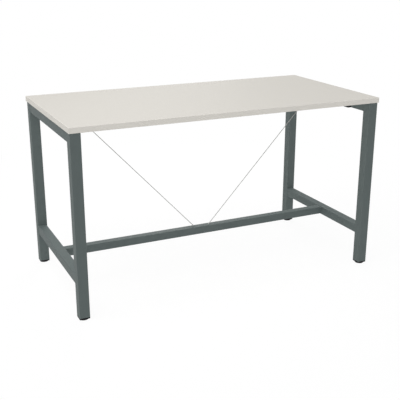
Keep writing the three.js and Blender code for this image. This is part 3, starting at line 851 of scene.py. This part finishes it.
def bracket_blank(name, reach, width, height):
    """A bracket whose back is on the plane x = 0 and whose plate is under z = 0, reaching towards -x."""
    outline = rounded([
        (0, 0, 0), (-reach, 0, 0), (-reach, BRACKET_SLOPE_RISE - height, BRACKET_CORNER),
        (BRACKET_SLOPE - reach, -height, BRACKET_CORNER), (0, -height, 0),
    ])
    block = upright_prism(name, outline, width, black_paint)
    room = rounded([
        (-BRACKET_PLATE, -BRACKET_PLATE, 0), (-2 * reach, -BRACKET_PLATE, 0),
        (-2 * reach, -2 * height, 0), (-BRACKET_PLATE, -2 * height, 0),
    ])
    return cut(block, upright_prism("cutter", room, width - 2 * BRACKET_PLATE))


black_paint = moulded_finish("black_paint", BLACK_SHADE, BLACK_COLOUR, BLACK_ROUGHNESS, BLACK_SHEEN)
rail_low, rail_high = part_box("top_rail_right")
bolt_height = (rail_low.z + rail_high.z) / 2
for corner in CORNERS:
    node = f"top_bracket_{corner}"
    low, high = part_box(node)
    reach, width, height = high - low
    bracket = bracket_blank(f"{corner}_top_bracket", reach, width, height)
    bolt_drop = Vector((0, 0, bolt_height - high.z))
    screw_place = Vector((BRACKET_SEAT - reach / 2, 0, 0))
    through = 2 * BRACKET_PLATE
    cut(
        bracket,
        rod(BRACKET_BOLT_HOLE, bolt_drop - through * RIGHT, bolt_drop + through * RIGHT),
        rod(BRACKET_SCREW_HOLE, screw_place - through * UP, screw_place + through * UP),
    )
    softened(bracket, BRACKET_SOFTENING)
    left = corner.endswith("left")
    back_face = Vector((low.x if left else high.x, (low.y + high.y) / 2, high.z))
    half_turn = Matrix.Rotation(math.pi if left else 0, 4, "Z")
    bracket.data.transform(Matrix.Translation(back_face) @ half_turn)
    carried(bracket, "table", "black_bracket", node)

# Bracket screws and bolts

# A socket-head bolt ties each bracket to the top rail, and a pan-head wood screw ties it to the board. Both
# are zinc-plated, with the socket facing whoever puts the table together.
BRACKET_BOLT = {
    "head": 0.010, "head_height": 0.005, "socket": 0.004, "socket_depth": 0.003,
    "shank": 0.006, "pitch": 0.001, "tip": 0.001, "softening": 0.0006,
}
WOOD_SCREW = {
    "head": 0.009, "head_height": 0.0035, "socket": 0.003, "socket_depth": 0.002,
    "shank": 0.0045, "pitch": 0.0018, "tip": 0.0018, "softening": 0.0008,
}


def fastener(name, node, direction, shape):
    """A screw in the place of a node, driven in a direction."""
    low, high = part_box(node)
    reach = abs((high - low).dot(direction))
    screw = socket_screw(name, shape, reach)
    screw.data.transform(along(direction, (low + high - reach * direction) / 2))
    carried(screw, "table", "zinc_steel", node)


for corner in CORNERS:
    outward = RIGHT if corner.endswith("right") else -RIGHT
    fastener(f"{corner}_bracket_bolt", f"bracket_bolt_{corner}", outward, BRACKET_BOLT)
    fastener(f"{corner}_bracket_screw", f"bracket_screw_{corner}", UP, WOOD_SCREW)

# Wire anchors

# A zinc-plated plate, bent down across the wire, is screwed to the underside of the top near each end. The
# wire's threaded terminal passes through the bent tongue.
ANCHOR_THICKNESS = 0.004
ANCHOR_WIDTH = 0.044
ANCHOR_FLANGE = 0.052
ANCHOR_TONGUE = 0.012
ANCHOR_NUT_ROOM = 0.0242
ANCHOR_SEAT = 0.0002
ANCHOR_BEND = 0.003
ANCHOR_TIP_ROUNDING = 0.001
ANCHOR_SCREW_SPACING = 0.024
ANCHOR_STUD_HOLE = 0.0066
ANCHOR_SOFTENING = 0.0004


def anchor_plate(name):
    """The right-hand anchor, in place: its section in the wire's plane, drawn across the table."""
    head = wire_head(1)
    upward = up_wire(1)
    across = Vector((upward.z, 0, -upward.x))
    top = underside - ANCHOR_SEAT

    def on_plane(distance, height):
        """The point of the plane across the wire, a distance down it, at a height."""
        point = head - distance * upward
        return point + across * (height - point.z) / across.z

    bend = on_plane(ANCHOR_NUT_ROOM, top)
    under_bend = on_plane(ANCHOR_NUT_ROOM + ANCHOR_THICKNESS, top - ANCHOR_THICKNESS)
    tip = head - ANCHOR_NUT_ROOM * upward + ANCHOR_TONGUE * across
    under_tip = tip - ANCHOR_THICKNESS * upward
    far_x = bend.x - ANCHOR_FLANGE
    outline = rounded([
        (far_x, top, ANCHOR_TIP_ROUNDING),
        (bend.x, bend.z, ANCHOR_BEND + ANCHOR_THICKNESS),
        (tip.x, tip.z, ANCHOR_TIP_ROUNDING),
        (under_tip.x, under_tip.z, ANCHOR_TIP_ROUNDING),
        (under_bend.x, under_bend.z, ANCHOR_BEND),
        (far_x, top - ANCHOR_THICKNESS, ANCHOR_TIP_ROUNDING),
    ])
    plate = upright_prism(name, outline, ANCHOR_WIDTH, zinc_plate)
    middle = far_x + ANCHOR_FLANGE / 2
    through = ANCHOR_THICKNESS * UP
    cutters = [rod(ANCHOR_STUD_HOLE, head - 2 * ANCHOR_NUT_ROOM * upward, head)]
    for offset in (-ANCHOR_SCREW_SPACING / 2, ANCHOR_SCREW_SPACING / 2):
        place = Vector((middle, offset, top))
        cutters.append(rod(BRACKET_SCREW_HOLE, place - 2 * through, place + through))
    return softened(cut(plate, *cutters), ANCHOR_SOFTENING)


for side_name, side in SIDES.items():
    anchor = anchor_plate(f"{side_name}_wire_anchor")
    if side < 0:
        anchor.data.transform(Matrix.Rotation(math.pi, 4, "Z"))
    carried(anchor, "table", "zinc_steel", f"wire_anchor_{side_name}")
    for end_name in ENDS:
        node = f"anchor_screw_{side_name}_{end_name}"
        fastener(f"{side_name}_{end_name}_anchor_screw", node, UP, WOOD_SCREW)

# Wire terminals and nuts

# A stainless sleeve is swaged on the wire's upper end and narrows to an M6 stud. A flanged nut on the stud,
# above the anchor's tongue, stretches the wire.
TERMINAL_START = 0.010
TERMINAL_THREAD = 0.0522
TERMINAL_DIAMETER = 0.006
TERMINAL_PITCH = 0.001
TERMINAL_CHAMFER = 0.001
SLEEVE_LENGTH = 0.035
SLEEVE_DIAMETER = 0.008
SLEEVE_BORE = 0.0046
SLEEVE_BORE_DEPTH = 0.030
SLEEVE_TAPER = 0.003
SLEEVE_SOFTENING = 0.0005
NUT_ACROSS_FLATS = 0.010
NUT_HEIGHT = 0.006
NUT_FLANGE_DIAMETER = 0.014
NUT_FLANGE_HEIGHT = 0.0015
NUT_BORE = 0.0066
NUT_CHAMFER = 0.0008
NUT_SOFTENING = 0.0002
STEEL_COLOUR = (0.42, 0.42, 0.41)
STEEL_SHADE = (0.37, 0.37, 0.36)
STEEL_ROUGHNESS = (0.24, 0.36)
STEEL_CLOUD = 0.003
STEEL_CLOUD_DETAIL = 3.0
STEEL_GRAIN = 0.0003
STEEL_GRAIN_HEIGHT = 0.000005


def stainless_finish():
    """Drawn stainless steel: a plain grey metal with a fine satin skin."""
    return clouded_finish(
        "stainless_steel", (STEEL_SHADE, STEEL_COLOUR), STEEL_ROUGHNESS, STEEL_CLOUD, STEEL_CLOUD_DETAIL,
        STEEL_GRAIN, STEEL_GRAIN_HEIGHT, Metallic=1.0,
    )


def wire_terminal(name):
    """A terminal that stands on the origin: its sleeve, open below for the wire, and its threaded stud."""
    bore = SLEEVE_BORE / 2
    edge = SLEEVE_DIAMETER / 2
    stud = TERMINAL_DIAMETER / 2
    sleeve = turned("sleeve", [
        (0, SLEEVE_BORE_DEPTH), (bore, SLEEVE_BORE_DEPTH), (bore, 0), ((bore + edge) / 2, 0),
        (edge, SLEEVE_TAPER), (edge, SLEEVE_LENGTH - SLEEVE_TAPER), (stud, SLEEVE_LENGTH), (0, SLEEVE_LENGTH),
    ], stainless)
    shank = threaded(TERMINAL_DIAMETER, TERMINAL_PITCH, SLEEVE_LENGTH, TERMINAL_THREAD,
                     TERMINAL_CHAMFER, stainless)
    return smoothed(joined(name, [softened(sleeve, SLEEVE_SOFTENING), shank]))


def tension_nut(name):
    """A hexagon nut that stands on its flange on the origin, with its upper corners chamfered."""
    corner = NUT_ACROSS_FLATS / math.sqrt(3)
    flange = NUT_FLANGE_DIAMETER / 2
    angles = [2 * math.pi * step / HEXAGON for step in range(HEXAGON)]
    flats = [(corner * math.cos(angle), corner * math.sin(angle)) for angle in angles]
    nut = prism(name, flats, NUT_HEIGHT, zinc_plate)
    envelope = turned("cutter", [
        (0, 0), (flange, 0), (flange, NUT_HEIGHT - NUT_CHAMFER), (corner, NUT_HEIGHT - NUT_CHAMFER),
        (corner - NUT_CHAMFER, NUT_HEIGHT), (0, NUT_HEIGHT),
    ])
    combined(nut, "INTERSECT", envelope)
    collar = turned("collar", [
        (0, 0), (flange, 0), (flange, NUT_FLANGE_HEIGHT / 2), (flange - NUT_FLANGE_HEIGHT, NUT_FLANGE_HEIGHT),
        (0, NUT_FLANGE_HEIGHT),
    ])
    combined(nut, "UNION", collar)
    return softened(cut(nut, rod(NUT_BORE, -NUT_HEIGHT * UP, 2 * NUT_HEIGHT * UP)), NUT_SOFTENING)


stainless = stainless_finish()
sleeve_end = TERMINAL_START + TERMINAL_THREAD + SLEEVE_LENGTH
for side_name, side in SIDES.items():
    head = wire_head(side)
    upward = up_wire(side)
    terminal = wire_terminal(f"{side_name}_wire_terminal")
    terminal.data.transform(along(upward, head - sleeve_end * upward))
    carried(terminal, "table", "wire_rope", f"wire_terminal_{side_name}")
    nut = tension_nut(f"{side_name}_tension_nut")
    nut.data.transform(along(upward, head - (ANCHOR_NUT_ROOM - ANCHOR_SEAT) * upward))
    carried(nut, "table", "zinc_steel", f"wire_nut_{side_name}")

# Wires

# Each wire is a 4 mm stainless rope of six strands laid round a seventh, stretched from its terminal down to
# a ball, which is swaged on its lower end and bears on the stretcher's wall from inside.
ROPE_STRANDS = 6
ROPE_STRANDS_ACROSS = 3
ROPE_LAY = 0.020
ROPE_STEPS = 12
ROPE_STRAND_SIDES = 6
STOP_RADIUS = 0.005


def wire_rope_tree():
    """A rope that stands on the origin: strands that wind round a straight core of the same thickness."""
    tree, size = new_tree("wire_rope", "Diameter", "Length", "Lay")
    strand = number(tree, "DIVIDE", size["Diameter"], ROPE_STRANDS_ACROSS)
    circle = {"Resolution": ROPE_STRAND_SIDES, "Radius": number(tree, "MULTIPLY", strand, 0.5)}
    section = add(tree, "GeometryNodeCurvePrimitiveCircle", circle).outputs["Curve"]
    end = add(tree, "ShaderNodeCombineXYZ", {"Z": size["Length"]}).outputs[0]
    straight = add(tree, "GeometryNodeCurvePrimitiveLine", {"End": end}).outputs[0]
    winding = add(tree, "GeometryNodeCurveSpiral", {
        "Resolution": ROPE_STEPS, "Rotations": number(tree, "DIVIDE", size["Length"], size["Lay"]),
        "Start Radius": strand, "End Radius": strand, "Height": size["Length"],
    }).outputs[0]
    core, wound = (
        add(tree, "GeometryNodeCurveToMesh", {
            "Curve": path, "Profile Curve": section, "Fill Caps": True,
        }).outputs[0]
        for path in (straight, winding)
    )
    starts = add(tree, "GeometryNodePoints", {"Count": ROPE_STRANDS}).outputs[0]
    index = add(tree, "GeometryNodeInputIndex").outputs[0]
    share = number(tree, "MULTIPLY", index, 2 * math.pi / ROPE_STRANDS)
    euler = add(tree, "ShaderNodeCombineXYZ", {"Z": share}).outputs[0]
    turn = add(tree, "FunctionNodeEulerToRotation", {"Euler": euler}).outputs[0]
    laid = {"Points": starts, "Instance": wound, "Rotation": turn}
    strands = add(tree, "GeometryNodeInstanceOnPoints", laid).outputs[0]
    end_tree(tree, together(tree, core, strands), size["Finish"])
    return tree


wire_rope = wire_rope_tree()
for side_name, side in SIDES.items():
    upward = up_wire(side)
    drop = underside - stretcher_top + TUBE_WALL + ANCHOR_SEAT + STOP_RADIUS
    low_end = drop / upward.z + STOP_RADIUS
    top_end = sleeve_end - SLEEVE_BORE_DEPTH + ANCHOR_SEAT
    sizes = {"Diameter": WIRE_DIAMETER, "Length": low_end - top_end, "Lay": ROPE_LAY}
    rope = grown(f"{side_name}_tension_wire", wire_rope, stainless, sizes)
    rope.data.shade_smooth()
    rope.data.transform(along(upward, wire_head(side) - low_end * upward))
    carried(rope, "table", "wire_rope", f"wire_{side_name}")
    dressed(f"wire_stop_{side_name}", stainless)

# Stage

# A wide white floor that fades into a white room. It shows white to the camera and in reflections, keeps the
# table's soft shadow close to it, and isn't there when seen from below.
FLOOR_RADIUS = 60.0
FLOOR_DROP = 0.0003
FLOOR_SIDES = 96
FLOOR_COLOUR = (0.85, 0.85, 0.85, 1)
FLOOR_GLOW = 0.85
SHADOW_REACH = (1.2, 3.0)
WHITE = (1, 1, 1, 1)


def seen_directly(tree):
    """1 for rays that show the background to the camera, in a reflection or through glass, 0 for light."""
    path = add(tree, "ShaderNodeLightPath").outputs
    reflected = number(tree, "MAXIMUM", path["Is Glossy Ray"], path["Is Transmission Ray"])
    return number(tree, "MAXIMUM", path["Is Camera Ray"], reflected)


def floor_finish():
    """White to the eye, with a share of real shade near the table, and plain pale paint to the light."""
    finish = bpy.data.materials.new("floor")
    finish.use_nodes = True
    tree = finish.node_tree
    tree.nodes.clear()
    place = add(tree, "ShaderNodeTexCoord").outputs["Object"]
    distance = add(tree, "ShaderNodeVectorMath", {0: place}, operation="LENGTH").outputs["Value"]
    fade = add(tree, "ShaderNodeMapRange", {
        "Value": distance, "From Min": SHADOW_REACH[0], "From Max": SHADOW_REACH[1],
        "To Min": FLOOR_GLOW, "To Max": 1.0,
    }).outputs[0]
    glow_share = number(tree, "MULTIPLY", seen_directly(tree), fade)
    paint = add(tree, "ShaderNodeBsdfDiffuse", {"Color": FLOOR_COLOUR}).outputs[0]
    glow = add(tree, "ShaderNodeEmission", {"Color": WHITE, "Strength": 1.0}).outputs[0]
    upper = add(tree, "ShaderNodeMixShader", {0: glow_share, 1: paint, 2: glow}).outputs[0]
    nothing = add(tree, "ShaderNodeBsdfTransparent").outputs[0]
    below = add(tree, "ShaderNodeNewGeometry").outputs["Backfacing"]
    surface = add(tree, "ShaderNodeMixShader", {0: below, 1: upper, 2: nothing}).outputs[0]
    add(tree, "ShaderNodeOutputMaterial", {"Surface": surface})
    return finish


ground = bmesh.new()
bmesh.ops.create_circle(ground, cap_ends=True, segments=FLOOR_SIDES, radius=FLOOR_RADIUS)
bmesh.ops.translate(ground, verts=ground.verts, vec=(0, 0, -FLOOR_DROP))
floor = solid("floor", ground, floor_finish())

# Light

# An even white room lights every side. One large soft lamp stands high on the left, and another low behind
# the table puts a sheen on what faces up. An even fill from the front left, which throws no shadow, keeps the
# frame under the top as bright as the rest.
SKY_STRENGTH = 0.29
LAMP_DISTANCE = 3.2
SOFT_LAMP_SIZE = 1.6
KEY_BEARING = bearing(math.radians(-67), math.radians(60))
KEY_POWER = 18.0
BACK_BEARING = bearing(math.radians(162), math.radians(20))
BACK_POWER = 20.0
FILL_BEARING = bearing(math.radians(-45), math.radians(56))
FILL_STRENGTH = 2.70
FILL_ANGLE = math.radians(60)


def lamp(name, kind, direction, power):
    """A lamp that stands in a direction from the table and points at its middle."""
    light = bpy.data.lights.new(name, kind)
    light.energy = power
    holder = bpy.data.objects.new(name, light)
    scene.collection.objects.link(holder)
    holder.location = CAMERA_TARGET + LAMP_DISTANCE * direction
    holder.rotation_euler = direction.to_track_quat("Z", "Y").to_euler()
    return light


room = bpy.data.worlds.new("room")
scene.world = room
room.use_nodes = True
sky = room.node_tree
level = add(sky, "ShaderNodeMapRange", {
    "Value": seen_directly(sky), "To Min": SKY_STRENGTH, "To Max": 1.0,
}).outputs[0]
sky.nodes["Background"].inputs["Color"].default_value = WHITE
sky.links.new(level, sky.nodes["Background"].inputs["Strength"])

for name, direction, power in (("key", KEY_BEARING, KEY_POWER), ("back", BACK_BEARING, BACK_POWER)):
    soft_lamp = lamp(name, "AREA", direction, power)
    soft_lamp.shape = "DISK"
    soft_lamp.size = SOFT_LAMP_SIZE
fill = lamp("fill", "SUN", FILL_BEARING, FILL_STRENGTH)
fill.angle = FILL_ANGLE
fill.use_shadow = False
fill.specular_factor = 0.0
